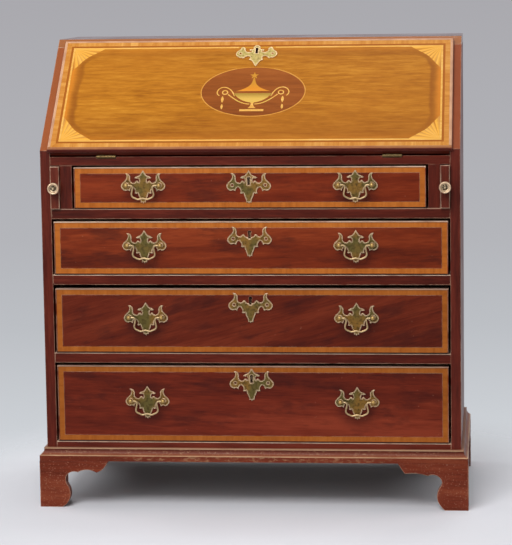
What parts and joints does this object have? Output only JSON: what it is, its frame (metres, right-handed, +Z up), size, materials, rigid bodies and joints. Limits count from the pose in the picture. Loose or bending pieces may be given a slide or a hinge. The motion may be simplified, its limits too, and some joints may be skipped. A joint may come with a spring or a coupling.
{
  "type": "fall-front bureau",
  "caption": "Bureau with a sloping hinged fall inlaid with an urn and corner fans, pull-out lopers, long drawers with brass bails, pigeonholes and bracket feet.",
  "frame": {"origin": "middle of the footprint, on the floor", "axes": "+X to the bureau's right as seen from the front, -Y towards the front, +Z up"},
  "size_m": [0.945, 0.489, 1.023],
  "materials": {
    "mahogany": "polished, worn at the edges",
    "drawer_mahogany": "polished, figured",
    "interior_mahogany": "satin",
    "oak": "unfinished",
    "satinwood": "polished",
    "crossbanding": "polished",
    "light_inlay": "polished",
    "dark_inlay": "polished",
    "brass": "aged",
    "pale_brass": "rubbed bright",
    "steel": "dull"
  },
  "bodies": {
    "carcase": {"left_side": "mahogany", "right_side": "mahogany", "top_board": "mahogany", "writing_board": "mahogany", "bottom_board": "oak", "back_boards": "oak", "drawer_rails": "mahogany", "dust_boards": "oak", "loper_partitions": "mahogany", "base_moulding": "mahogany", "front_left_foot": "mahogany", "front_right_foot": "mahogany", "rear_left_foot": "mahogany", "rear_right_foot": "mahogany", "pigeonhole_case": "interior_mahogany", "fixed_hinge_leaves": "brass"},
    "fall": {"fall_board": "mahogany", "fall_edge_moulding": "mahogany", "fall_field_veneer": "satinwood", "fall_crossbanding": "crossbanding", "fall_light_inlay": "light_inlay", "fall_dark_inlay": "dark_inlay", "fall_lock": "pale_brass", "fall_hinge_leaves": "brass"},
    "fall_bolt": {"fall_lock_bolt": "steel"},
    "drawer_1": {"drawer_1_front": "drawer_mahogany", "drawer_1_box": "oak", "drawer_1_banding": "crossbanding", "drawer_1_brasses": "brass"},
    "drawer_1_bolt": {"drawer_1_bolt": "steel"},
    "drawer_1_left_bail": {"drawer_1_left_bail": "brass"},
    "drawer_1_right_bail": {"drawer_1_right_bail": "brass"},
    "drawer_2": {"drawer_2_front": "drawer_mahogany", "drawer_2_box": "oak", "drawer_2_banding": "crossbanding", "drawer_2_brasses": "brass"},
    "drawer_2_bolt": {"drawer_2_bolt": "steel"},
    "drawer_2_left_bail": {"drawer_2_left_bail": "brass"},
    "drawer_2_right_bail": {"drawer_2_right_bail": "brass"},
    "drawer_3": {"drawer_3_front": "drawer_mahogany", "drawer_3_box": "oak", "drawer_3_banding": "crossbanding", "drawer_3_brasses": "brass"},
    "drawer_3_bolt": {"drawer_3_bolt": "steel"},
    "drawer_3_left_bail": {"drawer_3_left_bail": "brass"},
    "drawer_3_right_bail": {"drawer_3_right_bail": "brass"},
    "drawer_4": {"drawer_4_front": "drawer_mahogany", "drawer_4_box": "oak", "drawer_4_banding": "crossbanding", "drawer_4_brasses": "brass"},
    "drawer_4_bolt": {"drawer_4_bolt": "steel"},
    "drawer_4_left_bail": {"drawer_4_left_bail": "brass"},
    "drawer_4_right_bail": {"drawer_4_right_bail": "brass"},
    "left_loper": {"left_loper": "mahogany", "left_loper_knob": "brass"},
    "right_loper": {"right_loper": "mahogany", "right_loper_knob": "brass"},
    "small_drawer_1": {"small_drawer_1": "interior_mahogany"},
    "small_drawer_2": {"small_drawer_2": "interior_mahogany"},
    "small_drawer_3": {"small_drawer_3": "interior_mahogany"}
  },
  "joints": [
    {"name": "fall_hinge", "type": "hinge", "parent": "carcase", "child": "fall", "pos_m": [0, -0.2155, 0.775], "axis": [1, 0, 0], "range_deg": [0, 136]},
    {"name": "fall_bolt_slide", "type": "slide", "parent": "fall", "child": "fall_bolt", "axis": [0, -0.7193, -0.6947], "range_m": [-0.014, 0]},
    {"name": "drawer_1_slide", "type": "slide", "parent": "carcase", "child": "drawer_1", "axis": [0, -1, 0], "range_m": [0, 0.3]},
    {"name": "drawer_1_bolt_slide", "type": "slide", "parent": "drawer_1", "child": "drawer_1_bolt", "axis": [0, 0, -1], "range_m": [-0.012, 0]},
    {"name": "drawer_1_left_bail_swing", "type": "hinge", "parent": "drawer_1", "child": "drawer_1_left_bail", "pos_m": [-0.231, -0.2271, 0.713], "axis": [-1, 0, 0], "range_deg": [0, 150]},
    {"name": "drawer_1_right_bail_swing", "type": "hinge", "parent": "drawer_1", "child": "drawer_1_right_bail", "pos_m": [0.231, -0.2271, 0.713], "axis": [-1, 0, 0], "range_deg": [0, 150]},
    {"name": "drawer_2_slide", "type": "slide", "parent": "carcase", "child": "drawer_2", "axis": [0, -1, 0], "range_m": [0, 0.3]},
    {"name": "drawer_2_bolt_slide", "type": "slide", "parent": "drawer_2", "child": "drawer_2_bolt", "axis": [0, 0, -1], "range_m": [-0.012, 0]},
    {"name": "drawer_2_left_bail_swing", "type": "hinge", "parent": "drawer_2", "child": "drawer_2_left_bail", "pos_m": [-0.231, -0.2271, 0.582], "axis": [-1, 0, 0], "range_deg": [0, 150]},
    {"name": "drawer_2_right_bail_swing", "type": "hinge", "parent": "drawer_2", "child": "drawer_2_right_bail", "pos_m": [0.231, -0.2271, 0.582], "axis": [-1, 0, 0], "range_deg": [0, 150]},
    {"name": "drawer_3_slide", "type": "slide", "parent": "carcase", "child": "drawer_3", "axis": [0, -1, 0], "range_m": [0, 0.3]},
    {"name": "drawer_3_bolt_slide", "type": "slide", "parent": "drawer_3", "child": "drawer_3_bolt", "axis": [0, 0, -1], "range_m": [-0.012, 0]},
    {"name": "drawer_3_left_bail_swing", "type": "hinge", "parent": "drawer_3", "child": "drawer_3_left_bail", "pos_m": [-0.231, -0.2271, 0.423], "axis": [-1, 0, 0], "range_deg": [0, 150]},
    {"name": "drawer_3_right_bail_swing", "type": "hinge", "parent": "drawer_3", "child": "drawer_3_right_bail", "pos_m": [0.231, -0.2271, 0.423], "axis": [-1, 0, 0], "range_deg": [0, 150]},
    {"name": "drawer_4_slide", "type": "slide", "parent": "carcase", "child": "drawer_4", "axis": [0, -1, 0], "range_m": [0, 0.3]},
    {"name": "drawer_4_bolt_slide", "type": "slide", "parent": "drawer_4", "child": "drawer_4_bolt", "axis": [0, 0, -1], "range_m": [-0.012, 0]},
    {"name": "drawer_4_left_bail_swing", "type": "hinge", "parent": "drawer_4", "child": "drawer_4_left_bail", "pos_m": [-0.231, -0.2271, 0.2375], "axis": [-1, 0, 0], "range_deg": [0, 150]},
    {"name": "drawer_4_right_bail_swing", "type": "hinge", "parent": "drawer_4", "child": "drawer_4_right_bail", "pos_m": [0.231, -0.2271, 0.2375], "axis": [-1, 0, 0], "range_deg": [0, 150]},
    {"name": "left_loper_slide", "type": "slide", "parent": "carcase", "child": "left_loper", "axis": [0, -1, 0], "range_m": [0, 0.24]},
    {"name": "right_loper_slide", "type": "slide", "parent": "carcase", "child": "right_loper", "axis": [0, -1, 0], "range_m": [0, 0.24]},
    {"name": "small_drawer_1_slide", "type": "slide", "parent": "carcase", "child": "small_drawer_1", "axis": [0, -1, 0], "range_m": [0, 0.14]},
    {"name": "small_drawer_2_slide", "type": "slide", "parent": "carcase", "child": "small_drawer_2", "axis": [0, -1, 0], "range_m": [0, 0.14]},
    {"name": "small_drawer_3_slide", "type": "slide", "parent": "carcase", "child": "small_drawer_3", "axis": [0, -1, 0], "range_m": [0, 0.14]}
  ]
}
